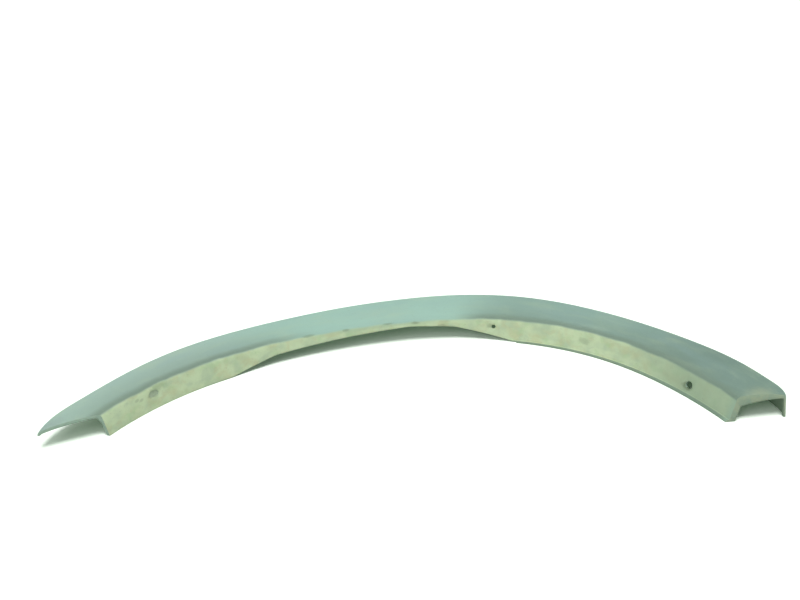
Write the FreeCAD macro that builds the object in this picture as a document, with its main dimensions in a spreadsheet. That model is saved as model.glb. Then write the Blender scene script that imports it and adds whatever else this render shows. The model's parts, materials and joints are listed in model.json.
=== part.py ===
import FreeCAD, Part
import math
import os

import Sketcher

# Fender flare for a wheel arch, moulded in one piece and lying open side down.
# Its cross-section is a channel: a leaning inner flange, a bowed roof and an outer wall.
# Lengths are millimetres and angles degrees. Distances run along the ridge, the corner
# between flange and roof: "at" counts from the flange's tail end, "past_crown" from where
# the crown's arc begins, and "before_end" back from the front end.

SIZES = [
    # plan of the ridge: four arcs that run into each other
    ("tail_leg_radius", 415.0),
    ("tail_leg_turn", 27.9),
    ("rear_leg_radius", 612.0),
    ("rear_leg_turn", 25.5),
    ("crown_leg_radius", 296.0),
    ("crown_leg_turn", 47.8),
    ("front_leg_radius", 435.0),
    ("front_leg_turn", 18.7),
    # cross-section
    ("tail_ridge_height", 27.2),
    ("front_ridge_height", 30.0),
    ("tail_edge_height", 24.6),
    ("front_edge_height", 27.3),
    ("roof_bow_radius", 190.0),
    ("flange_lean", 17.0),
    ("outer_draft", 3.0),
    ("flange_wall", 3.6),
    ("roof_wall", 3.0),
    ("outer_wall", 2.4),
    ("ridge_round", 7.0),
    ("edge_round", 4.0),
    ("inside_round", 3.0),
    # width of the roof and where each width is reached
    ("tip_width", 40.5),
    ("tail_width", 46.0),
    ("rear_width", 53.5),
    ("rear_width_at", 200.0),
    ("shoulder_width", 67.0),
    ("shoulder_past_crown", 40.0),
    ("waist_width", 58.0),
    ("waist_before_end", 178.0),
    ("front_width", 64.5),
    ("front_width_before_end", 48.0),
    ("end_width", 54.5),
    # pointed tail and the outer wall that starts behind it
    ("tip_run", 54.5),
    ("tip_droop", 2.2),
    ("tail_slant", 2.0),
    ("tail_roof_wall", 3.6),
    ("tail_lip", 1.0),
    ("full_roof_at", 60.0),
    ("outer_wall_falls_at", 20.0),
    ("outer_wall_full_at", 130.0),
    # cut-out along the foot of the inner flange
    ("relief_tail_at", 178.0),
    ("relief_rise_at", 240.0),
    ("relief_rise_height", 12.3),
    ("relief_peak_before_crown", 60.0),
    ("relief_peak_height", 20.8),
    ("relief_step_before_crown", 2.5),
    ("relief_step_height", 17.4),
    ("relief_front_past_crown", 77.5),
    # bead along the foot of the inner flange, from the cut-out to the front end
    ("bead_height", 2.6),
    ("bead_rear_width", 1.5),
    ("bead_front_width", 4.0),
    # front end: how far it overhangs and leans back, and the lip round the mouth
    ("end_overhang", 22.0),
    ("end_lean_back", 8.0),
    ("lip_thickness", 4.0),
    ("lip_flange_width", 7.5),
    ("lip_depth_at_ridge", 12.0),
    ("lip_depth_at_edge", 3.9),
    ("mouth_round", 2.0),
    # screw holes through the inner flange
    ("tail_slot_length", 12.0),
    ("tail_slot_width", 7.0),
    ("tail_slot_at", 74.0),
    ("tail_slot_height", 17.0),
    ("middle_hole_diameter", 5.0),
    ("middle_hole_past_crown", 47.0),
    ("middle_hole_height", 17.5),
    ("front_hole_diameter", 9.5),
    ("front_hole_before_end", 73.0),
    ("front_hole_height", 12.0),
]

doc = FreeCAD.newDocument("fender_flare")
sheet = doc.addObject("Spreadsheet::Sheet", "sizes")
for row, (alias, value) in enumerate(SIZES, start=1):
    sheet.set(f"A{row}", alias)
    sheet.set(f"B{row}", str(value))
    sheet.setAlias(f"B{row}", alias)
doc.recompute()


def value_of(formula):
    """Number that a formula on the sheet gives; a plain number stays as it is."""
    if isinstance(formula, str):
        return float(sheet.evalExpression(formula))
    return float(formula)


def size(alias):
    return value_of(f"sizes.{alias}")


# formulas that several outlines share
LEAN = "tan(sizes.flange_lean * 1 deg)"
LEAN_COSINE = "cos(sizes.flange_lean * 1 deg)"
DRAFT = "tan(sizes.outer_draft * 1 deg)"
# how far shapes stand past the faces that trim them or that they cut through
MARGIN = "1.5 * sizes.flange_wall"
# lengths of the cuts for the mouth and for the screw holes, half of them either side of the sketch
MOUTH_DEPTH = "4 * sizes.lip_thickness"
HOLE_DEPTH = "6 * sizes.flange_wall"

LEGS = [
    (size("tail_leg_radius"), math.radians(size("tail_leg_turn"))),
    (size("rear_leg_radius"), math.radians(size("rear_leg_turn"))),
    (size("crown_leg_radius"), math.radians(size("crown_leg_turn"))),
    (size("front_leg_radius"), math.radians(size("front_leg_turn"))),
]
ARCH_LENGTH = sum(radius * turn for radius, turn in LEGS)
CROWN_AT = sum(radius * turn for radius, turn in LEGS[:2])
FRONT_AT = ARCH_LENGTH - size("front_width_before_end")
FRONT_CORNER_AT = ARCH_LENGTH + size("end_overhang")


def on_ridge(at, start_heading=None):
    """Plan point and heading of the ridge at a distance along it."""
    point = FreeCAD.Vector(0.0, 0.0, 0.0)
    heading = START_HEADING if start_heading is None else start_heading
    for index, (radius, turn) in enumerate(LEGS):
        last = index == len(LEGS) - 1
        angle = at / radius if last else min(at / radius, turn)
        centre = point + FreeCAD.Vector(math.sin(heading), -math.cos(heading), 0.0) * radius
        heading -= angle
        point = centre + outward(heading) * radius
        at -= angle * radius
        if at <= 0.0:
            break
    return point, heading


def outward(heading):
    return FreeCAD.Vector(-math.sin(heading), math.cos(heading), 0.0)


def in_plan(at, across):
    """Plan point at a distance along the ridge and outward from it."""
    point, heading = on_ridge(at)
    return point + outward(heading) * across


# the ridge starts off at the heading that brings both its ends onto one line along X
chord = on_ridge(ARCH_LENGTH, 0.0)[0]
START_HEADING = -math.atan2(chord.y, chord.x)


def roof_width(at):
    """Formula for the roof width at a station, easing from one named width to the next."""
    knots = [
        (-size("tip_run"), "tip_width"),
        (0.0, "tail_width"),
        (size("rear_width_at"), "rear_width"),
        (CROWN_AT + size("shoulder_past_crown"), "shoulder_width"),
        (ARCH_LENGTH - size("waist_before_end"), "waist_width"),
        (FRONT_AT, "front_width"),
        (FRONT_CORNER_AT, "end_width"),
    ]
    for (start, first), (stop, second) in zip(knots, knots[1:]):
        share = (at - start) / (stop - start)
        if share <= 0.0:
            return f"sizes.{first}"
        if share <= 1.0:
            # the front corner is rounded off like a quarter of an ellipse
            rounded = second == "end_width"
            kept = math.sqrt(1.0 - share ** 2) if rounded else (1.0 + math.cos(math.pi * share)) / 2.0
            return f"(sizes.{first} * {kept} + sizes.{second} * {1.0 - kept})"
    return "sizes.end_width"


def height(name, at):
    """Formula for the height of the ridge or the edge, which rises evenly from tail to front.

    Behind the flange's end the edge droops towards the tip.
    """
    share = min(max(at / ARCH_LENGTH, 0.0), 1.0)
    even = f"sizes.tail_{name}_height * {1.0 - share} + sizes.front_{name}_height * {share}"
    if name == "edge" and at < 0.0:
        return f"({even} - sizes.tip_droop * {-at / size('tip_run')})"
    return f"({even})"


def foot_inset(at):
    """Formula for how far inward of the ridge the leaning flange meets the floor."""
    return f"{height('ridge', at)} * {LEAN}"


def upright(at, turned=0.0, leant=0.0):
    """Placement across the ridge: X points outward and Y up; the origin is on the floor.

    It can be turned about the upright, and leant back towards the tail.
    """
    point, heading = on_ridge(at)
    across = outward(heading + turned)
    backward = across.cross(FreeCAD.Vector(0.0, 0.0, -1.0))
    up = FreeCAD.Vector(0.0, 0.0, math.cos(leant)) + backward * math.sin(leant)
    return FreeCAD.Placement(point, FreeCAD.Rotation(across, up, across.cross(up), "ZXY"))


def flange_plane(at, up):
    """Placement on the flange's outside: X runs along it, Y up its lean, Z away from it."""
    point, heading = on_ridge(at)
    lean = math.radians(size("flange_lean"))
    across = outward(heading)
    along = FreeCAD.Vector(math.cos(heading), math.sin(heading), 0.0)
    up_the_flange = across * math.sin(lean) + FreeCAD.Vector(0.0, 0.0, math.cos(lean))
    spot = point - across * (value_of(height("ridge", at)) - up) * math.tan(lean)
    spot.z = up
    rotation = FreeCAD.Rotation(along, up_the_flange, along.cross(up_the_flange), "ZXY")
    return FreeCAD.Placement(spot, rotation)


body = doc.addObject("PartDesign::Body", "flare_moulding")
body.Label = "flare_moulding"
FLOOR_PLANE = next(plane for plane in body.Origin.OriginFeatures if plane.Role == "XY_Plane")


def sketch_at(name, placement):
    """A sketch on the body's floor plane, carried from there to a placement of its own."""
    sketch = body.newObject("Sketcher::SketchObject", name)
    sketch.AttachmentSupport = (FLOOR_PLANE, [""])
    sketch.MapMode = "FlatFace"
    sketch.AttachmentOffset = placement
    return sketch


def hold(sketch, kind, where, name, formula):
    """Add a dimension, and bind it to the sheet where it is a formula."""
    index = sketch.addConstraint(Sketcher.Constraint(kind, *where, value_of(formula)))
    sketch.renameConstraint(index, name)
    if isinstance(formula, str):
        sketch.setExpression("Constraints." + name, formula)


def end_at(sketch, side, point):
    """Which end of a side lies at the point: 1 is its start and 2 its end."""
    near_start = sketch.getPoint(side, 1).distanceToPoint(point)
    near_end = sketch.getPoint(side, 2).distanceToPoint(point)
    return 1 if near_start < near_end else 2


def hold_corner(sketch, spot, name, across, up):
    hold(sketch, "DistanceX", (-1, 1, *spot), name + "_across", across)
    hold(sketch, "DistanceY", (-1, 1, *spot), name + "_up", up)


def straight_outline(sketch, corners):
    """Closed outline of straight sides through corners given as (x, y)."""
    points = [FreeCAD.Vector(value_of(across), value_of(up), 0.0) for across, up in corners]
    for index, start in enumerate(points):
        sketch.addGeometry(Part.LineSegment(start, points[(index + 1) % len(points)]), False)
    for index, (across, up) in enumerate(corners):
        before = (index - 1) % len(points)
        sketch.addConstraint(Sketcher.Constraint("Coincident", before, 2, index, 1))
        hold_corner(sketch, (index, 1), f"corner_{index}", across, up)


def rounding(foot, corner, centre, bow, radius, side):
    """Ends and middle of the round that joins a straight wall to the bowed roof over it."""
    along = (corner - foot).normalize()
    inward = FreeCAD.Vector(along.y, -along.x, 0.0) * side
    start = foot + inward * radius
    offset = start - centre
    half = offset.dot(along)
    reach = math.sqrt(half ** 2 - offset.dot(offset) + (bow - radius) ** 2) - half
    middle = start + along * reach
    on_wall = middle - inward * radius
    on_roof = centre + (middle - centre).normalize() * bow
    outermost = middle + ((on_wall + on_roof) * 0.5 - middle).normalize() * radius
    return on_wall, outermost, on_roof


def channel_outline(sketch, foot, ridge, edge, outer_foot, ridge_round, edge_round):
    """Closed cross-section: up the flange, over the bowed roof and down the outer wall.

    Each of the four corners is (x, y) in formulas. Ridge and edge are the sharp corners that
    the two roundings replace.
    """
    corners = [foot, ridge, edge, outer_foot]
    low, crest, brow, far = [
        FreeCAD.Vector(value_of(across), value_of(up), 0.0) for across, up in corners
    ]
    bow = size("roof_bow_radius")
    span = brow - crest
    below = FreeCAD.Vector(span.y, -span.x, 0.0).normalize()
    centre = (crest + brow) * 0.5 + below * math.sqrt(bow ** 2 - span.Length ** 2 / 4.0)
    flange_end, ridge_middle, roof_start = rounding(low, crest, centre, bow, value_of(ridge_round), 1.0)
    wall_start, edge_middle, roof_end = rounding(far, brow, centre, bow, value_of(edge_round), -1.0)
    roof_middle = centre + ((roof_start + roof_end) * 0.5 - centre).normalize() * bow
    for side in (
        Part.LineSegment(low, flange_end),
        Part.Arc(flange_end, ridge_middle, roof_start),
        Part.Arc(roof_start, roof_middle, roof_end),
        Part.Arc(roof_end, edge_middle, wall_start),
        Part.LineSegment(wall_start, far),
        Part.LineSegment(far, low),
    ):
        sketch.addGeometry(side, False)
    joints = [low, flange_end, roof_start, roof_end, wall_start, far]
    for index, joint in enumerate(joints):
        before = (index - 1) % len(joints)
        kind = "Coincident" if joint in (low, far) else "Tangent"
        ends = (before, end_at(sketch, before, joint), index, end_at(sketch, index, joint))
        sketch.addConstraint(Sketcher.Constraint(kind, *ends))
    hold(sketch, "Radius", (1,), "ridge_round", ridge_round)
    hold(sketch, "Radius", (2,), "roof_bow", "sizes.roof_bow_radius")
    hold(sketch, "Radius", (3,), "edge_round", edge_round)
    hold_corner(sketch, (0, 1), "foot", *foot)
    hold_corner(sketch, (4, 2), "outer_foot", *outer_foot)
    for name, corner, point, wall in (("ridge", ridge, crest, 0), ("edge", edge, brow, 4)):
        spot = (sketch.addGeometry(Part.Point(point), True), 1)
        sketch.addConstraint(Sketcher.Constraint("PointOnObject", *spot, wall))
        sketch.addConstraint(Sketcher.Constraint("PointOnObject", *spot, 2))
        hold_corner(sketch, spot, name, *corner)


def outside_outline(sketch, at, width, steepness):
    """Outside of the moulding, drawn down to a margin below the floor.

    Heights are stretched by the steepness of a sketch plane that leans back.
    """
    ridge_up, edge_up = height("ridge", at), height("edge", at)
    foot = (f"-({ridge_up} + {MARGIN}) * {LEAN}", f"-{MARGIN} * {steepness}")
    ridge = ("0", f"{ridge_up} * {steepness}")
    edge = (width, f"{edge_up} * {steepness}")
    outer_foot = (f"{width} + ({edge_up} + {MARGIN}) * {DRAFT}", f"-{MARGIN} * {steepness}")
    channel_outline(sketch, foot, ridge, edge, outer_foot, "sizes.ridge_round", "sizes.edge_round")


def hollow_outline(sketch, at, width, steepness, flange, roof_at_ridge, roof_at_edge, rounded):
    """Hollow under the roof, inside the outside outline by the thicknesses given."""
    ridge_up, edge_up = height("ridge", at), height("edge", at)
    depth = f"2 * {MARGIN}"
    beside = f"{flange} / {LEAN_COSINE}"
    inner_width = f"({width} - sizes.outer_wall)"
    foot = (f"{beside} - ({ridge_up} + {depth}) * {LEAN}", f"-{depth} * {steepness}")
    ridge = (f"{beside} - {roof_at_ridge} * {LEAN}", f"({ridge_up} - {roof_at_ridge}) * {steepness}")
    edge = (inner_width, f"({edge_up} - {roof_at_edge}) * {steepness}")
    outer_foot = (f"{inner_width} + ({edge_up} + {depth}) * {DRAFT}", f"-{depth} * {steepness}")
    channel_outline(sketch, foot, ridge, edge, outer_foot, rounded, rounded)


def channel_hollow(sketch, at, width, steepness):
    """Hollow of the plain channel; its roof has a thickness of its own at the tail."""
    share = min(max(at / size("full_roof_at"), 0.0), 1.0)
    roof = f"(sizes.tail_roof_wall * {1.0 - share} + sizes.roof_wall * {share})"
    hollow_outline(sketch, at, width, steepness, "sizes.flange_wall", roof, roof, "sizes.inside_round")


def cut_made(feature):
    """Recompute, and make sure that a cut took something away."""
    doc.recompute()
    if feature.Shape.Volume >= feature.BaseFeature.Shape.Volume - 1.0:
        raise ValueError(f"{feature.Name} cuts nothing")


def loft(kind, name, sketches, ruled=False):
    feature = body.newObject("PartDesign::" + kind, name)
    feature.Profile = sketches[0]
    feature.Sections = sketches[1:]
    feature.Ruled = ruled
    return feature


def pocket(name, sketch, length=None):
    """Pocket both ways from its sketch, through everything if no length is given."""
    feature = body.newObject("PartDesign::Pocket", name)
    feature.Profile = sketch
    feature.Midplane = True
    if length is None:
        feature.Type = "ThroughAll"
    else:
        feature.Type = "Length"
        feature.setExpression("Length", length)
    return feature


# cross-sections from behind the tail's tip to the front end, where they turn with the end cut
LONG_SPANS = 13
CORNER_SPANS = 3
FIRST_AT = -size("tip_run") - value_of(MARGIN)
END_TURN = math.atan(size("end_overhang") / (size("end_width") + value_of(foot_inset(ARCH_LENGTH))))
END_LEAN = math.radians(size("end_lean_back"))


def section(name, at, turned, draw):
    """Sketch of one cross-section, turned and leant by a share of what the end cut has."""
    turn = END_TURN * turned
    lean = END_LEAN * turned
    width = f"{roof_width(at + size('end_overhang') * turned)} / {math.cos(turn)}"
    sketch = sketch_at(name, upright(at, -turn, lean))
    draw(sketch, at, width, 1.0 / math.cos(lean))
    return sketch


def cross_sections(name, end, draw):
    """Sketches of one kind of cross-section over the whole length, up to the given end."""
    stations = []
    for step in range(LONG_SPANS):
        stations.append((FIRST_AT + (FRONT_AT - FIRST_AT) * step / LONG_SPANS, 0.0))
    for step in range(CORNER_SPANS + 1):
        share = math.sin(math.pi / 2.0 * step / CORNER_SPANS)
        stations.append((FRONT_AT + (end - FRONT_AT) * share, share))
    sketches = [
        section(f"{name}_{number}", at, turned, draw)
        for number, (at, turned) in enumerate(stations, start=1)
    ]
    doc.recompute()
    return sketches


# outer form
loft("AdditiveLoft", "outer_form", cross_sections("outside", ARCH_LENGTH, outside_outline))
doc.recompute()

# bead along the foot of the flange: a low step that widens towards the front end
BEAD_SPANS = 5
bead_from = CROWN_AT + size("relief_front_past_crown")


def bead_outline(sketch, at, width, steepness):
    share = (at - bead_from) / (ARCH_LENGTH - bead_from)
    bead_width = f"(sizes.bead_rear_width * {1.0 - share} + sizes.bead_front_width * {share})"
    face = f"-{foot_inset(at)}"
    straight_outline(sketch, [
        (f"{face} - {bead_width}", f"-{MARGIN} * {steepness}"),
        (f"{face} + sizes.flange_wall / 2", f"-{MARGIN} * {steepness}"),
        (f"{face} + sizes.flange_wall / 2", f"sizes.bead_height * {steepness}"),
        (f"{face} - {bead_width} / 2", f"sizes.bead_height * {steepness}"),
        (f"{face} - {bead_width}", f"sizes.bead_height / 2 * {steepness}"),
    ])


bead_sections = []
for step in range(BEAD_SPANS + 1):
    at = bead_from + (ARCH_LENGTH - bead_from) * step / BEAD_SPANS
    turned = math.sqrt(max(0.0, (at - FRONT_AT) / (ARCH_LENGTH - FRONT_AT)))
    bead_sections.append(section(f"bead_{step + 1}", at, turned, bead_outline))
doc.recompute()
loft("AdditiveLoft", "foot_bead", bead_sections)
doc.recompute()

# channel under the roof, which stops behind the lip at the front end
channel_end = ARCH_LENGTH - size("lip_thickness")
cut_made(loft("SubtractiveLoft", "channel", cross_sections("inside", channel_end, channel_hollow)))

# mouth in the front end, with the lip left round it


def mouth_outline(sketch, at, width, steepness):
    depths = ("sizes.lip_depth_at_ridge", "sizes.lip_depth_at_edge")
    hollow_outline(sketch, at, width, steepness, "sizes.lip_flange_width", *depths, "sizes.mouth_round")


cut_made(pocket("mouth", section("mouth_outline", ARCH_LENGTH, 1.0, mouth_outline), MOUTH_DEPTH))

# flat feet: everything below the floor comes off
half_size = f"{ARCH_LENGTH}"
foot_sketch = sketch_at("foot_outline", FreeCAD.Placement(FreeCAD.Vector(0.0, 0.0, 0.0), FreeCAD.Rotation()))
straight_outline(foot_sketch, [
    (f"-{half_size}", f"-{half_size}"),
    (f"2 * {half_size}", f"-{half_size}"),
    (f"2 * {half_size}", f"{half_size}"),
    (f"-{half_size}", f"{half_size}"),
])
feet = body.newObject("PartDesign::Pocket", "flat_feet")
feet.Profile = foot_sketch
feet.Type = "ThroughAll"
cut_made(feet)

# oblique cut that leaves the roof's outer edge running on to a point at the tail
foot_end = in_plan(0.0, -value_of(foot_inset(0.0)))
ridge_end = in_plan(-size("tail_slant"), 0.0)
tip = in_plan(-size("tip_run"), size("tip_width"))
inner_end = foot_end + (foot_end - ridge_end)
past_tip = tip + (tip - ridge_end) * 0.5
tail_heading = on_ridge(FIRST_AT)[1]
backward = FreeCAD.Vector(-math.cos(tail_heading), -math.sin(tail_heading), 0.0) * 2.0 * size("tip_run")
tail_sketch = sketch_at("tail_cut_outline", FreeCAD.Placement())
straight_outline(tail_sketch, [
    (point.x, point.y)
    for point in (inner_end, ridge_end, past_tip, past_tip + backward, inner_end + backward)
])
cut_made(pocket("tail_cut", tail_sketch))

# outer wall: a mere lip at the tail, which falls to its full depth further on
wall_start = in_plan(-size("tip_run"), size("tip_width"))
full_at = size("outer_wall_full_at")
wall_full = in_plan(full_at, value_of(roof_width(full_at)))
along_wall = (wall_full - wall_start).normalize()
straight_up = FreeCAD.Vector(0.0, 0.0, 1.0)
wall_rotation = FreeCAD.Rotation(along_wall, straight_up, along_wall.cross(straight_up), "ZXY")
runout_sketch = sketch_at("outer_wall_runout_outline", FreeCAD.Placement(wall_start, wall_rotation))
full_depth = (wall_full - wall_start).Length
lip_bottom = "sizes.tail_edge_height - sizes.tip_droop - sizes.tail_roof_wall - sizes.tail_lip"
straight_outline(runout_sketch, [
    ("-sizes.tail_width", f"-{MARGIN}"),
    (full_depth, f"-{MARGIN}"),
    (full_depth, "0"),
    ("sizes.tip_run + sizes.outer_wall_falls_at", lip_bottom),
    ("-sizes.tail_width", lip_bottom),
])
cut_made(pocket("outer_wall_runout", runout_sketch, "sizes.tail_width"))

# cut-out in the flange: a long taper, a shallow peak, a step and a short rise
RELIEF_SPANS = 3
relief_line = [
    (size("relief_tail_at"), "0"),
    (size("relief_rise_at"), "sizes.relief_rise_height"),
    (CROWN_AT - size("relief_peak_before_crown"), "sizes.relief_peak_height"),
    (CROWN_AT - size("relief_step_before_crown"), "sizes.relief_step_height"),
    (CROWN_AT + size("relief_front_past_crown"), "0"),
]
relief_stations = [relief_line[0]]
for (first_at, first), (second_at, second) in zip(relief_line, relief_line[1:]):
    for step in range(1, RELIEF_SPANS + 1):
        share = step / RELIEF_SPANS
        cut_height = f"{first} * {1.0 - share} + {second} * {share}"
        relief_stations.append((first_at + (second_at - first_at) * share, cut_height))
relief_sections = []
for number, (at, cut_height) in enumerate(relief_stations, start=1):
    sketch = sketch_at(f"relief_{number}", upright(at))
    inner = f"-({foot_inset(at)} + {MARGIN})"
    outer = f"sizes.flange_wall / {LEAN_COSINE} + {MARGIN}"
    straight_outline(sketch, [
        (inner, f"-{MARGIN}"), (outer, f"-{MARGIN}"), (outer, cut_height), (inner, cut_height),
    ])
    relief_sections.append(sketch)
doc.recompute()
cut_made(loft("SubtractiveLoft", "flange_relief", relief_sections, ruled=True))

# screw holes, each cut square through the flange


def drill(name, at, up, diameter):
    sketch = sketch_at(name + "_outline", flange_plane(at, size(up)))
    middle = FreeCAD.Vector(0.0, 0.0, 0.0)
    sketch.addGeometry(Part.Circle(middle, FreeCAD.Vector(0.0, 0.0, 1.0), size(diameter) / 2.0), False)
    sketch.addConstraint(Sketcher.Constraint("Coincident", 0, 3, -1, 1))
    hold(sketch, "Diameter", (0,), "diameter", f"sizes.{diameter}")
    cut_made(pocket(name, sketch, HOLE_DEPTH))


drill("middle_hole", CROWN_AT + size("middle_hole_past_crown"), "middle_hole_height", "middle_hole_diameter")
drill("front_hole", ARCH_LENGTH - size("front_hole_before_end"), "front_hole_height", "front_hole_diameter")

# the tail hole is a slot along the flange, with round ends
slot_sketch = sketch_at("tail_slot_outline", flange_plane(size("tail_slot_at"), size("tail_slot_height")))
slot_radius = size("tail_slot_width") / 2.0
left = FreeCAD.Vector(slot_radius - size("tail_slot_length") / 2.0, 0.0, 0.0)
right = left * -1.0
rise = FreeCAD.Vector(0.0, slot_radius, 0.0)
reach = FreeCAD.Vector(slot_radius, 0.0, 0.0)
slot_sketch.addGeometry(Part.LineSegment(left - rise, right - rise), False)
slot_sketch.addGeometry(Part.Arc(right - rise, right + reach, right + rise), False)
slot_sketch.addGeometry(Part.LineSegment(right + rise, left + rise), False)
slot_sketch.addGeometry(Part.Arc(left + rise, left - reach, left - rise), False)
for side in range(4):
    slot_sketch.addConstraint(Sketcher.Constraint("Tangent", side, 2, (side + 1) % 4, 1))
slot_sketch.addConstraint(Sketcher.Constraint("Symmetric", 1, 3, 3, 3, -1, 1))
slot_sketch.addConstraint(Sketcher.Constraint("Horizontal", 0))
hold(slot_sketch, "Radius", (1,), "end_radius", "sizes.tail_slot_width / 2")
hold(slot_sketch, "DistanceX", (3, 3, 1, 3), "straight_length", "sizes.tail_slot_length - sizes.tail_slot_width")
cut_made(pocket("tail_slot", slot_sketch, HOLE_DEPTH))

# lay the moulding with its plan centred on the origin; its feet are on the floor already
MESH_STEP = size("flange_wall") / 36.0
mesh_points = body.Shape.tessellate(MESH_STEP)[0]
middle_x = (min(point.x for point in mesh_points) + max(point.x for point in mesh_points)) / 2.0
middle_y = (min(point.y for point in mesh_points) + max(point.y for point in mesh_points)) / 2.0
body.Placement.Base = FreeCAD.Vector(-middle_x, -middle_y, 0.0)
doc.recompute()

for item in doc.Objects:
    if "Invalid" in item.State or "Error" in item.State:
        raise ValueError(f"{item.Name} is {item.State}")
if body.Shape.isNull() or not body.Shape.isValid() or len(body.Shape.Solids) != 1:
    raise ValueError("the moulding is not one valid solid")

os.makedirs("parts", exist_ok=True)
body.Shape.exportStep(f"parts/{body.Label}.step")
print(body.Label, round(body.Shape.Volume), "mm3, moved by", -middle_x, -middle_y)
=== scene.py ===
import json
import math

import bpy
from mathutils import Matrix, Vector


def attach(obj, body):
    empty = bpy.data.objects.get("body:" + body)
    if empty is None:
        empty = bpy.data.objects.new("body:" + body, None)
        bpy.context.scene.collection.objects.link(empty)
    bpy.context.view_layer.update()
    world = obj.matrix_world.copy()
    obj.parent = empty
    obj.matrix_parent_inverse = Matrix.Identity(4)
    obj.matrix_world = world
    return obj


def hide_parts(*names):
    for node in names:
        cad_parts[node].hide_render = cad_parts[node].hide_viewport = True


# Fender flare of weathered plastic lying on a pale floor, open side down.
# All lengths are metres. "Along" runs along the ridge between the inner flange and the roof,
# "across" runs outward from it.

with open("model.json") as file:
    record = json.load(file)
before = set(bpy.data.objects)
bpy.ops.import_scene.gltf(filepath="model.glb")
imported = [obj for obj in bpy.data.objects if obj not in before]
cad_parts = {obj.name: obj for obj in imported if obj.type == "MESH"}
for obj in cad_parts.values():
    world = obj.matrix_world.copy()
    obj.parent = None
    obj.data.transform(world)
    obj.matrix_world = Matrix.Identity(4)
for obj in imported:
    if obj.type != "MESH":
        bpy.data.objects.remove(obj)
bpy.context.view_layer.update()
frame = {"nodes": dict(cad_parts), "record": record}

# ridge line of the arch: radius and turn of its four arcs, from the tail to the front end
RIDGE_LEGS = [(0.415, 27.9), (0.612, 25.5), (0.296, 47.8), (0.435, 18.7)]
RIDGE_START = Vector((-0.354087, -0.121124, 0.0))
FRONT_END_AT = sum(radius * math.radians(turn) for radius, turn in RIDGE_LEGS)

# section of the arch: usual ridge height and roof width, and how far the flange leans
RIDGE_HEIGHT = 0.0286
TYPICAL_WIDTH = 0.055
FLANGE_LEAN = math.radians(17.0)


def outward(heading):
    """Direction away from the wheel where the ridge runs in this heading."""
    return Vector((-math.sin(heading), math.cos(heading), 0.0))


def ridge_legs(start, heading):
    """Centre, first heading, radius and turn of each arc, and the last point of the ridge."""
    legs = []
    point = start.copy()
    for radius, degrees in RIDGE_LEGS:
        turn = math.radians(degrees)
        centre = point - outward(heading) * radius
        legs.append((centre, heading, radius, turn))
        heading -= turn
        point = centre + outward(heading) * radius
    return legs, point


# the arch is turned so that both ends of its ridge have the same y
level_end = ridge_legs(Vector((0.0, 0.0, 0.0)), 0.0)[1]
START_HEADING = -math.atan2(level_end.y, level_end.x)
LEGS = ridge_legs(RIDGE_START, START_HEADING)[0]


def place_on_arch(point):
    """Distance along the ridge, distance outward from it, and the outward direction there."""
    done = 0.0
    for index, (centre, heading, radius, turn) in enumerate(LEGS):
        ray = Vector((point.x - centre.x, point.y - centre.y, 0.0))
        first = outward(heading)
        angle = math.atan2(first.y * ray.x - first.x * ray.y, first.dot(ray))
        if angle <= turn or index == len(LEGS) - 1:
            return done + angle * radius, ray.length - radius, ray.normalized()
        done += turn * radius


def lengthwise_map(piece):
    """UV map of the moulding laid flat: along the ridge, and round the section from the ridge."""
    layer = piece.data.uv_layers.new(name="laid_flat")
    spots = []
    for vertex in piece.data.vertices:
        along, across, _ = place_on_arch(vertex.co)
        # 1 at the flange and -1 at the outer wall, so that the distance runs on down both
        side = max(-1.0, min(1.0, 1.0 - 2.0 * across / TYPICAL_WIDTH))
        spots.append((along, across + side * (vertex.co.z - RIDGE_HEIGHT)))
    for corner, loop in zip(layer.data, piece.data.loops):
        corner.uv = spots[loop.vertex_index]


# node helpers
def fill(tree, socket, value):
    """Link another socket to this one, or set its value."""
    if isinstance(value, bpy.types.NodeSocket):
        tree.links.new(value, socket)
    else:
        socket.default_value = value


def new_node(tree, kind, values=None, **settings):
    """A node with its settings, and its inputs set or linked by name or number."""
    node = tree.nodes.new(kind)
    for name, setting in settings.items():
        setattr(node, name, setting)
    for name, value in (values or {}).items():
        fill(tree, node.inputs[name], value)
    return node


def math_node(tree, operation, first, second=0.0):
    node = new_node(tree, "ShaderNodeMath", {0: first, 1: second}, operation=operation)
    return node.outputs[0]


def product(tree, first, second):
    """Two masks multiplied, or a mask made weaker by a strength."""
    return math_node(tree, "MULTIPLY", first, second)


def smooth_step(tree, value, start, stop):
    """0 as far as start, 1 from stop on, soft between them; start may be the larger."""
    limits = {"Value": value, "From Min": start, "From Max": stop}
    node = new_node(tree, "ShaderNodeMapRange", limits, interpolation_type="SMOOTHSTEP")
    return node.outputs["Result"]


def mix_colour(tree, factor, first, second):
    """The first colour turning into the second as the factor goes from 0 to 1."""
    node = new_node(tree, "ShaderNodeMix", data_type="RGBA")
    # a colour mix has its factor in socket 0, its colours in 6 and 7 and its result in 2
    fill(tree, node.inputs[0], factor)
    fill(tree, node.inputs[6], first)
    fill(tree, node.inputs[7], second)
    return node.outputs[2]


def shifted_place(tree, place, shift=(0.0, 0.0, 0.0), scale=(1.0, 1.0, 1.0)):
    """The same place moved and stretched, so that another pattern falls there."""
    moves = {"Vector": place, "Location": shift, "Scale": scale}
    return new_node(tree, "ShaderNodeMapping", moves).outputs[0]


def srgb(red, green, blue):
    """Linear colour, with full alpha, of a screen colour given as 0 to 255."""
    parts = []
    for part in (red, green, blue):
        share = part / 255.0
        parts.append(share / 12.92 if share <= 0.04045 else ((share + 0.055) / 1.055) ** 2.4)
    return (*parts, 1.0)


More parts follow.
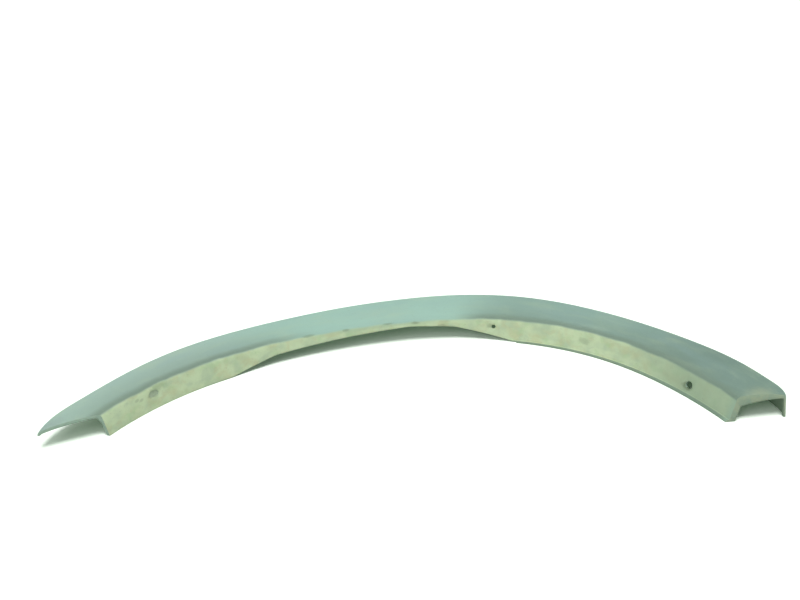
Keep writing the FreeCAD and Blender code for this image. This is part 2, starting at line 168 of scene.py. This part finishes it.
def new_group(name, inputs, outputs):
    """Shader node group with its sockets, given as (name, kind, default)."""
    group = bpy.data.node_groups.new(name, "ShaderNodeTree")
    for label, kind, default in inputs:
        socket = group.interface.new_socket(label, in_out="INPUT", socket_type=kind)
        if default is not None:
            socket.default_value = default
    for label, kind in outputs:
        group.interface.new_socket(label, in_out="OUTPUT", socket_type=kind)
    return group, group.nodes.new("NodeGroupInput"), group.nodes.new("NodeGroupOutput")


NUMBER, VECTOR = "NodeSocketFloat", "NodeSocketVector"


def make_mottle():
    """Cloudy patches broken up by finer ones, such as chalked plastic or dust."""
    inputs = [("Place", VECTOR, None), ("Size", NUMBER, 0.02), ("Breakup", NUMBER, 0.6),
              ("Low", NUMBER, 0.4), ("High", NUMBER, 0.6)]
    group, given, result = new_group("mottle", inputs, [("Mask", NUMBER)])
    scale = math_node(group, "DIVIDE", 1.0, given.outputs["Size"])
    clouds = new_node(group, "ShaderNodeTexNoise", {
        "Vector": given.outputs["Place"], "Scale": scale, "Detail": 8.0,
        "Roughness": given.outputs["Breakup"], "Distortion": 0.3,
    })
    mask = smooth_step(group, clouds.outputs["Fac"], given.outputs["Low"], given.outputs["High"])
    group.links.new(mask, result.inputs["Mask"])
    return group


def make_moulded_grain():
    """Height of the fine leathery grain of the mould."""
    inputs = [("Place", VECTOR, None), ("Size", NUMBER, 0.0012)]
    group, given, result = new_group("moulded grain", inputs, [("Height", NUMBER)])
    scale = math_node(group, "DIVIDE", 1.0, given.outputs["Size"])
    pebbles = new_node(group, "ShaderNodeTexVoronoi", {
        "Vector": given.outputs["Place"], "Scale": scale,
    }, feature="SMOOTH_F1")
    pores = new_node(group, "ShaderNodeTexNoise", {
        "Vector": given.outputs["Place"], "Scale": scale, "Detail": 4.0, "Roughness": 0.7,
    })
    height = math_node(group, "ADD", pebbles.outputs["Distance"], pores.outputs["Fac"])
    group.links.new(height, result.inputs["Height"])
    return group


def make_stain():
    """Ragged round stain at one place on the laid-flat map."""
    inputs = [("Flat", VECTOR, None), ("Along", NUMBER, 0.0), ("Round", NUMBER, 0.0),
              ("Length", NUMBER, 0.01), ("Width", NUMBER, 0.01), ("Ragged", NUMBER, 0.4),
              ("Core", NUMBER, 0.4)]
    group, given, result = new_group("stain", inputs, [("Mask", NUMBER)])
    flat = new_node(group, "ShaderNodeSeparateXYZ", {0: given.outputs["Flat"]})
    squares = []
    for axis, centre, reach in (("X", "Along", "Length"), ("Y", "Round", "Width")):
        offset = math_node(group, "SUBTRACT", flat.outputs[axis], given.outputs[centre])
        share = math_node(group, "DIVIDE", offset, given.outputs[reach])
        squares.append(product(group, share, share))
    far = math_node(group, "SQRT", math_node(group, "ADD", *squares))
    noise = new_node(group, "ShaderNodeTexNoise", {
        "Vector": given.outputs["Flat"], "Scale": 260.0, "Detail": 4.0,
    })
    rag = product(group, math_node(group, "SUBTRACT", noise.outputs["Fac"], 0.5),
                  given.outputs["Ragged"])
    ragged = math_node(group, "ADD", far, rag)
    mask = smooth_step(group, ragged, 1.1, given.outputs["Core"])
    group.links.new(mask, result.inputs["Mask"])
    return group


MOTTLE = make_mottle()
MOULDED_GRAIN = make_moulded_grain()
STAIN = make_stain()


def use(tree, group, **values):
    """A node group placed in a material with its own values."""
    return new_node(tree, "ShaderNodeGroup", values, node_tree=group).outputs[0]


# share of the light that the plastic lets through
LIGHT_THROUGH = 0.28


def new_material(name):
    """Matt plastic thin and pale enough for a little light to come through it."""
    material = bpy.data.materials.new(name)
    material.use_nodes = True
    tree = material.node_tree
    tree.nodes.clear()
    shader = tree.nodes.new("ShaderNodeBsdfPrincipled")
    through = tree.nodes.new("ShaderNodeBsdfTranslucent")
    through.inputs["Color"].default_value = srgb(204, 224, 204)
    both = tree.nodes.new("ShaderNodeMixShader")
    both.inputs[0].default_value = LIGHT_THROUGH
    out = tree.nodes.new("ShaderNodeOutputMaterial")
    tree.links.new(shader.outputs[0], both.inputs[1])
    tree.links.new(through.outputs[0], both.inputs[2])
    tree.links.new(both.outputs[0], out.inputs["Surface"])
    shader.inputs["Specular IOR Level"].default_value = 0.3
    return material, tree, shader


# colours of the finishes
ROOF_TAIL = srgb(180, 206, 196)
ROOF_MIDDLE = srgb(178, 214, 202)
ROOF_CROWN = srgb(158, 188, 178)
ROOF_FRONT = srgb(132, 157, 148)
ROOF_BLUISH = srgb(158, 188, 190)
TIP_BLUISH = srgb(158, 172, 172)
# painted shade of the rounded ridge
RIDGE_PAINTED_SHADE = srgb(130, 149, 136)
DUST_PALE = srgb(221, 238, 198)
DUST_DULL = srgb(198, 217, 184)
DUST_BROWN = srgb(207, 207, 162)
DUST_GREEN = srgb(190, 220, 168)
FRONT_DULL = srgb(166, 188, 162)
NARROW_DULL = srgb(166, 190, 166)
# bare plastic at the foot, darkened with painted shade
FOOT_TEAL_AND_SHADE = srgb(114, 137, 124)
FRONT_END_TEAL = srgb(158, 186, 168)
# grime, also the colour of the painted shade round the front hole
GRIME_AND_PAINTED_SHADE = srgb(118, 134, 106)
LIP_DUST = srgb(170, 182, 156)
LIP_DULL = srgb(150, 171, 153)
# the inside of the channel: the plastic darkened with painted shade
INSIDE_PAINTED_SHADE = srgb(142, 160, 140)
INSIDE_PAINTED_SHADE_DARK = srgb(126, 143, 122)
EDGE_PALE = srgb(172, 194, 178)
EDGE_DULL = srgb(156, 180, 166)
PACKED_DUST = srgb(192, 206, 180)
PACKED_DUST_DARK = srgb(172, 187, 162)

# where along the ridge the roof turns from one colour to the next
TAIL_FADE = (0.12, 0.30)
CROWN_FADE = (0.465, 0.550)
FRONT_FADE = (0.62, 0.80)

# marks on the inner flange: along, height, length, width, strength
MARKS = [
    (0.050, 0.019, 0.004, 0.003, 0.35),
    (0.056, 0.017, 0.004, 0.003, 0.30),
    (0.082, 0.023, 0.014, 0.007, 0.30),
    (0.285, 0.027, 0.009, 0.003, 0.45),
    (0.333, 0.026, 0.006, 0.003, 0.45),
    (0.387, 0.027, 0.007, 0.002, 0.5),
    (0.422, 0.025, 0.006, 0.003, 0.5),
    (0.455, 0.019, 0.008, 0.004, 0.4),
    (0.639, 0.015, 0.010, 0.006, 0.3),
    (0.517, 0.018, 0.006, 0.005, 0.35),
    # painted shade of a countersink round the front hole
    (0.7885, 0.0095, 0.009, 0.0075, 0.8),
    (0.074, 0.017, 0.010, 0.006, 0.5),
]


def flange_place(height):
    """Distance round the section of a height on the flange, as the laid-flat map has it."""
    return -(RIDGE_HEIGHT - height) * (1.0 + math.tan(FLANGE_LEAN))


def stretch(tree, distance, rise, fall):
    """1 between two places, fading in before the first and out after the second."""
    return product(tree, smooth_step(tree, distance, *rise), smooth_step(tree, distance, *fall))


def ridge_shade_ends(tree, along):
    """1 towards both ends, little on the middle stretch, where the painted shade at the ridge is
    weak.
    """
    middle = stretch(tree, along, (0.20, 0.31), (0.515, 0.465))
    return math_node(tree, "SUBTRACT", 1.0, product(tree, middle, 0.9))


def roof_colour(tree, flat, along, round_section):
    """Chalked roof: teal in the middle, greyer at the tail, darker at the front, with painted
    shade towards the ridge.
    """
    colour = mix_colour(tree, smooth_step(tree, along, *TAIL_FADE), ROOF_TAIL, ROOF_MIDDLE)
    colour = mix_colour(tree, smooth_step(tree, along, *CROWN_FADE), colour, ROOF_CROWN)
    colour = mix_colour(tree, smooth_step(tree, along, *FRONT_FADE), colour, ROOF_FRONT)
    # painted shade: the roof darkens towards the ridge, less on the middle stretch
    shade = product(tree, smooth_step(tree, round_section, 0.045, 0.002), ridge_shade_ends(tree, along))
    colour = mix_colour(tree, product(tree, shade, 0.40), colour, RIDGE_PAINTED_SHADE)

    # bluish streaks and chalk, both drawn out along the arch
    streaks = shifted_place(tree, flat, scale=(0.35, 1.0, 1.0))
    bluish = use(tree, MOTTLE, Place=streaks, Size=0.040, Breakup=0.5, Low=0.45, High=0.70)
    colour = mix_colour(tree, product(tree, bluish, 0.30), colour, ROOF_BLUISH)
    streaks = shifted_place(tree, flat, (3.0, 1.0, 0.0), (0.45, 1.0, 1.0))
    chalk = use(tree, MOTTLE, Place=streaks, Size=0.022, Breakup=0.62, Low=0.45, High=0.72)
    colour = mix_colour(tree, product(tree, chalk, 0.25), colour, DUST_DULL)

    # a bluish patch near the tip and dust near the open front end
    tip = use(tree, STAIN, Flat=flat, Along=-0.050, Round=0.036, Length=0.030, Width=0.016,
              Ragged=0.8)
    colour = mix_colour(tree, product(tree, tip, 0.5), colour, TIP_BLUISH)
    mouth = use(tree, STAIN, Flat=flat, Along=0.868, Round=0.027, Length=0.018, Width=0.024,
                Ragged=0.8, Core=0.0)
    return mix_colour(tree, product(tree, mouth, 0.8), colour, LIP_DUST)


def flange_colour(tree, flat, along, round_section):
    """Dust on the inner flange, duller on its narrow stretch and front, with bare plastic and
    painted shade at its foot.
    """
    soft = use(tree, MOTTLE, Place=flat, Size=0.020, Breakup=0.55, Low=0.30, High=0.62)
    colour = mix_colour(tree, soft, DUST_DULL, DUST_PALE)
    moved = shifted_place(tree, flat, (5.0, 2.0, 0.0))
    brown = use(tree, MOTTLE, Place=moved, Size=0.024, Breakup=0.6, Low=0.46, High=0.64)
    colour = mix_colour(tree, product(tree, brown, 0.55), colour, DUST_BROWN)
    moved = shifted_place(tree, flat, (9.0, 4.0, 0.0))
    green = use(tree, MOTTLE, Place=moved, Size=0.016, Breakup=0.6, Low=0.50, High=0.70)
    colour = mix_colour(tree, product(tree, green, 0.50), colour, DUST_GREEN)

    # the upper part of the narrow stretch, and then the whole front stretch
    narrow = stretch(tree, along, (0.26, 0.34), (0.48, 0.42))
    upper = product(tree, narrow, smooth_step(tree, round_section, -0.0100, -0.0045))
    colour = mix_colour(tree, product(tree, upper, 0.45), colour, NARROW_DULL)
    front = smooth_step(tree, along, 0.66, 0.80)
    colour = mix_colour(tree, product(tree, front, 0.75), colour, FRONT_DULL)

    # the foot shows bare plastic with painted shade from behind the tail slot on, and more of it
    # past the crown
    foot_bare_and_shaded = math_node(tree, "ADD", product(tree, smooth_step(tree, along, 0.10, 0.18), 0.4),
                     product(tree, smooth_step(tree, along, 0.50, 0.57), 0.4))
    foot = product(tree, smooth_step(tree, round_section, -0.0345, -0.0362), foot_bare_and_shaded)
    colour = mix_colour(tree, foot, colour, FOOT_TEAL_AND_SHADE)
    end = smooth_step(tree, along, FRONT_END_AT - 0.016, FRONT_END_AT - 0.002)
    return mix_colour(tree, product(tree, end, 0.75), colour, FRONT_END_TEAL)


def make_weathered_skin():
    """The moulding's outside: chalked roof and outer wall, dusty inner flange."""
    material, tree, shader = new_material("weathered_plastic_skin")
    flat = new_node(tree, "ShaderNodeUVMap", uv_map="laid_flat").outputs["UV"]
    place = new_node(tree, "ShaderNodeTexCoord").outputs["Object"]
    parts = new_node(tree, "ShaderNodeSeparateXYZ", {0: flat})
    along, round_section = parts.outputs["X"], parts.outputs["Y"]

    # the dust ends at the ridge in a wavering line, with a dark line of painted shade along the
    # ridge above it
    wobble = use(tree, MOTTLE, Place=flat, Size=0.036, Breakup=0.5, Low=0.2, High=0.8)
    wobble = product(tree, math_node(tree, "SUBTRACT", wobble, 0.5), 0.0028)
    wavering = math_node(tree, "ADD", round_section, wobble)
    roof = roof_colour(tree, flat, along, round_section)
    # painted shade: a dark line along the ridge, weak on the middle stretch
    line = stretch(tree, wavering, (-0.0035, -0.0005), (0.0120, 0.0010))
    line = product(tree, line, ridge_shade_ends(tree, along))
    roof = mix_colour(tree, product(tree, line, 0.80), roof, RIDGE_PAINTED_SHADE)
    flange = flange_colour(tree, flat, along, round_section)
    colour = mix_colour(tree, smooth_step(tree, wavering, -0.0008, -0.0052), roof, flange)

    # fine specks of dust and dirt
    specks = use(tree, MOTTLE, Place=place, Size=0.0022, Breakup=0.75, Low=0.55, High=0.72)
    colour = mix_colour(tree, product(tree, specks, 0.22), colour, DUST_PALE)
    moved = shifted_place(tree, place, (2.0, 7.0, 1.0))
    dirt = use(tree, MOTTLE, Place=moved, Size=0.0035, Breakup=0.7, Low=0.56, High=0.74)
    colour = mix_colour(tree, product(tree, dirt, 0.25), colour, GRIME_AND_PAINTED_SHADE)

    # grime round the holes and in scuffs, and painted shade of a countersink round the front hole
    for spot, height, length, width, strength in MARKS:
        mark = use(tree, STAIN, Flat=flat, Along=spot, Round=flange_place(height),
                   Length=length, Width=width, Ragged=0.9)
        colour = mix_colour(tree, product(tree, mark, strength), colour, GRIME_AND_PAINTED_SHADE)
    tree.links.new(colour, shader.inputs["Base Color"])

    # moulded grain on slow waves, and dust that scatters the gloss in patches
    grain = use(tree, MOULDED_GRAIN, Place=place, Size=0.0011)
    bump = new_node(tree, "ShaderNodeBump", {
        "Strength": 0.6, "Distance": 0.00012, "Height": grain,
    })
    waves = use(tree, MOTTLE, Place=place, Size=0.05, Breakup=0.3, Low=0.0, High=1.0)
    soft = new_node(tree, "ShaderNodeBump", {
        "Strength": 0.4, "Distance": 0.0012, "Height": waves, "Normal": bump.outputs[0],
    })
    tree.links.new(soft.outputs[0], shader.inputs["Normal"])
    dusty = use(tree, MOTTLE, Place=flat, Size=0.012, Breakup=0.65, Low=0.35, High=0.70)
    rough = new_node(tree, "ShaderNodeMapRange", {
        "Value": dusty, "To Min": 0.62, "To Max": 0.86,
    })
    tree.links.new(rough.outputs[0], shader.inputs["Roughness"])
    return material


def make_matt_finish(name, first, second, size):
    """Matt surface in two patchy colours with a little dust on it."""
    material, tree, shader = new_material(name)
    place = new_node(tree, "ShaderNodeTexCoord").outputs["Object"]
    cloud = use(tree, MOTTLE, Place=place, Size=size, Breakup=0.6, Low=0.35, High=0.65)
    colour = mix_colour(tree, cloud, first, second)
    fine = use(tree, MOTTLE, Place=place, Size=size * 0.2, Breakup=0.7, Low=0.5, High=0.75)
    colour = mix_colour(tree, product(tree, fine, 0.25), colour, DUST_DULL)
    tree.links.new(colour, shader.inputs["Base Color"])
    grain = use(tree, MOULDED_GRAIN, Place=place, Size=0.0014)
    bump = new_node(tree, "ShaderNodeBump", {
        "Strength": 0.3, "Distance": 0.0001, "Height": grain,
    })
    tree.links.new(bump.outputs[0], shader.inputs["Normal"])
    shader.inputs["Roughness"].default_value = 0.75
    return material


# modelling helpers
def edit_mode(piece, kind):
    """Open a piece for editing with nothing selected."""
    bpy.ops.object.select_all(action="DESELECT")
    piece.select_set(True)
    bpy.context.view_layer.objects.active = piece
    bpy.ops.object.mode_set(mode="EDIT")
    bpy.ops.mesh.select_mode(type=kind)
    bpy.ops.mesh.select_all(action="DESELECT")


def edit_chosen(piece, kind, chosen):
    """Open a piece for editing with only the vertices or faces selected that pass a test."""
    edit_mode(piece, kind)
    bpy.ops.object.mode_set(mode="OBJECT")
    for part in piece.data.polygons if kind == "FACE" else piece.data.vertices:
        part.select = chosen(part)
    bpy.ops.object.mode_set(mode="EDIT")


# edges turning more than the sharp turn are eased, and those under the smooth turn shade as one
SHARP_TURN = math.radians(42.0)
SMOOTH_TURN = math.radians(40.0)
EASED_EDGE = 0.0004
MERGE_DISTANCE = 0.000002

# the moulding
SKIN, INSIDE, LIP, EDGE = range(4)
LIP_REACH = 0.03


def finish_of(face):
    """Which finish a face of the moulding has, from where it lies and faces."""
    along, across, out = place_on_arch(face.center)
    forward = Vector((out.y, -out.x, 0.0))
    facing_forward = face.normal.dot(forward)
    facing_out = face.normal.dot(out)
    # the flange's end at the tail, a slanting cut
    if along < 0.0005 and abs(face.normal.z) < 0.1 and facing_forward < -0.2:
        return EDGE
    # ends of the walls and of the channel
    if abs(facing_forward) > 0.6:
        return LIP if along > FRONT_END_AT - LIP_REACH else EDGE
    # the roof from above and from below, and then the flange and the outer wall
    if face.normal.z > 0.3:
        return SKIN
    if face.normal.z < -0.5:
        return INSIDE
    facing_in = facing_out if across < TYPICAL_WIDTH / 2.0 else -facing_out
    return INSIDE if facing_in > 0.3 else SKIN


def make_flare():
    """The moulding: a copy of the solid's mesh with eased edges and its four finishes."""
    cad = frame["nodes"]["flare_moulding"]
    flare = bpy.data.objects.new("weathered_flare", cad.data.copy())
    bpy.context.scene.collection.objects.link(flare)
    flare.data.materials.clear()
    for finish in (
        make_weathered_skin(),
        # the inside of the channel has painted shade in its colours
        make_matt_finish("inside_painted_shade", INSIDE_PAINTED_SHADE_DARK, INSIDE_PAINTED_SHADE, 0.025),
        make_matt_finish("dusty_lip", LIP_DULL, LIP_DUST, 0.012),
        make_matt_finish("worn_edge", EDGE_DULL, EDGE_PALE, 0.012),
    ):
        flare.data.materials.append(finish)

    # the mesh becomes one closed skin, and its sharp edges are eased
    edit_mode(flare, "VERT")
    bpy.ops.mesh.select_all(action="SELECT")
    bpy.ops.mesh.remove_doubles(threshold=MERGE_DISTANCE)
    bpy.ops.mesh.customdata_custom_splitnormals_clear()
    bpy.ops.object.mode_set(mode="OBJECT")
    for face in flare.data.polygons:
        face.material_index = finish_of(face)
    edit_mode(flare, "EDGE")
    bpy.ops.mesh.edges_select_sharp(sharpness=SHARP_TURN)
    bpy.ops.mesh.bevel(offset=EASED_EDGE, segments=2, clamp_overlap=False)
    bpy.ops.object.mode_set(mode="OBJECT")

    # corners that the easing pushed into the floor come back up to it
    edit_chosen(flare, "VERT", lambda vertex: vertex.co.z < 0.0)
    bpy.ops.transform.resize(value=(1.0, 1.0, 0.0), center_override=(0.0, 0.0, 0.0))
    bpy.ops.object.mode_set(mode="OBJECT")
    bpy.ops.object.shade_smooth_by_angle(angle=SMOOTH_TURN)
    lengthwise_map(flare)
    return flare


flare = make_flare()
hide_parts("flare_moulding")
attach(flare, "root")


# dust in the tail slot: radius of its round ends, a little into the wall so that no gap shows,
# how far each end lies from the middle, and how deep the dust is
SLOT_RADIUS = 0.0036
SLOT_HALF_STRETCH = 0.0025
PACKED_DEPTH = 0.0022


def make_packed_dust():
    """Dust packed into the tail slot, a little below the flange's outside and slightly dished."""
    slot = next(mount for mount in frame["record"]["mounts"] if mount["name"] == "tail_slot")
    outside = Vector(slot["axis"]).normalized()
    lengthwise = Vector((-outside.y, outside.x, 0.0)).normalized()
    upward = outside.cross(lengthwise)
    turned = Matrix((lengthwise, upward, outside)).transposed().to_4x4()
    bpy.ops.object.select_all(action="DESELECT")
    bpy.ops.mesh.primitive_cylinder_add(vertices=32, radius=SLOT_RADIUS, depth=PACKED_DEPTH)
    dust = bpy.context.active_object
    dust.name = "packed_dust"

    # the round plug is drawn out sideways into a slot's shape, and its outside is dished
    for side in (-1.0, 1.0):
        edit_chosen(dust, "VERT", lambda vertex: vertex.co.x * side > SLOT_RADIUS / 20.0)
        bpy.ops.transform.translate(value=(side * SLOT_HALF_STRETCH, 0.0, 0.0))
        bpy.ops.object.mode_set(mode="OBJECT")
    edit_chosen(dust, "FACE", lambda face: face.normal.z > 0.9)
    bpy.ops.mesh.inset(thickness=0.0010, depth=-0.00010)
    bpy.ops.mesh.inset(thickness=0.0012, depth=-0.00020)
    bpy.ops.object.mode_set(mode="OBJECT")

    dust.matrix_world = Matrix.Translation(slot["pos_m"]) @ turned
    bpy.ops.object.transform_apply(location=True, rotation=True, scale=True)
    bpy.ops.object.shade_smooth_by_angle(angle=SMOOTH_TURN)
    finish = make_matt_finish("packed_dust_skin", PACKED_DUST_DARK, PACKED_DUST, 0.003)
    dust.data.materials.append(finish)
    return dust


packed_dust = make_packed_dust()
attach(packed_dust, "root")


# floor, light and camera
FLOOR_LIT = (0.85, 0.85, 0.85, 1.0)
FLOOR_SEEN = (1.15, 1.23, 1.14, 1.0)
ROOM_LIGHT = (0.30, 0.34, 0.31, 1.0)
ROOM_SEEN = (1.0, 1.0, 1.0, 1.0)


def seen_or_mirrored(tree):
    """1 where the camera or a gloss sees the surface, 0 where it only passes on light."""
    rays = new_node(tree, "ShaderNodeLightPath").outputs
    return math_node(tree, "MAXIMUM", rays["Is Camera Ray"], rays["Is Glossy Ray"])


def make_floor():
    """Wide matt floor that looks white to the camera and keeps the object's shadow."""
    bpy.ops.object.select_all(action="DESELECT")
    bpy.ops.mesh.primitive_plane_add(size=30.0, location=(0.0, 0.0, -0.0002))
    floor = bpy.context.active_object
    floor.name = "studio_floor"
    material = bpy.data.materials.new("pale_floor")
    material.use_nodes = True
    tree = material.node_tree
    tree.nodes.clear()
    out = tree.nodes.new("ShaderNodeOutputMaterial")
    colour = mix_colour(tree, seen_or_mirrored(tree), FLOOR_LIT, FLOOR_SEEN)
    matt = new_node(tree, "ShaderNodeBsdfDiffuse", {"Color": colour})
    tree.links.new(matt.outputs[0], out.inputs["Surface"])
    floor.data.materials.append(material)
    return floor


floor = make_floor()


def make_world():
    """Even light from all round, with a white background."""
    world = bpy.data.worlds.new("studio")
    world.use_nodes = True
    bpy.context.scene.world = world
    tree = world.node_tree
    tree.nodes.clear()
    out = tree.nodes.new("ShaderNodeOutputWorld")
    colour = mix_colour(tree, seen_or_mirrored(tree), ROOM_LIGHT, ROOM_SEEN)
    background = new_node(tree, "ShaderNodeBackground", {"Color": colour})
    tree.links.new(background.outputs[0], out.inputs["Surface"])


make_world()


def make_light(name, tilt, swing, energy, softness):
    """Soft distant light from above, tilted to the camera's side and swung to its left."""
    light = bpy.data.lights.new(name, "SUN")
    light.energy = energy
    light.angle = math.radians(softness)
    holder = bpy.data.objects.new(name, light)
    bpy.context.scene.collection.objects.link(holder)
    holder.rotation_euler = (math.radians(tilt), 0.0, math.radians(-swing))


make_light("high_softlight", 11.0, 0.0, 2.25, 26.0)
make_light("left_fill", 55.0, 40.0, 0.45, 25.0)

camera = bpy.data.objects.new("camera", bpy.data.cameras.new("camera"))
bpy.context.scene.collection.objects.link(camera)
camera.data.sensor_width = 36.0
camera.data.lens = 58.5
camera.location = (-0.06594, -1.34735, 0.8179)
camera.rotation_euler = (math.radians(61.93), 0.0, math.radians(-2.027))
bpy.context.scene.camera = camera
bpy.context.scene.view_settings.view_transform = "Standard"
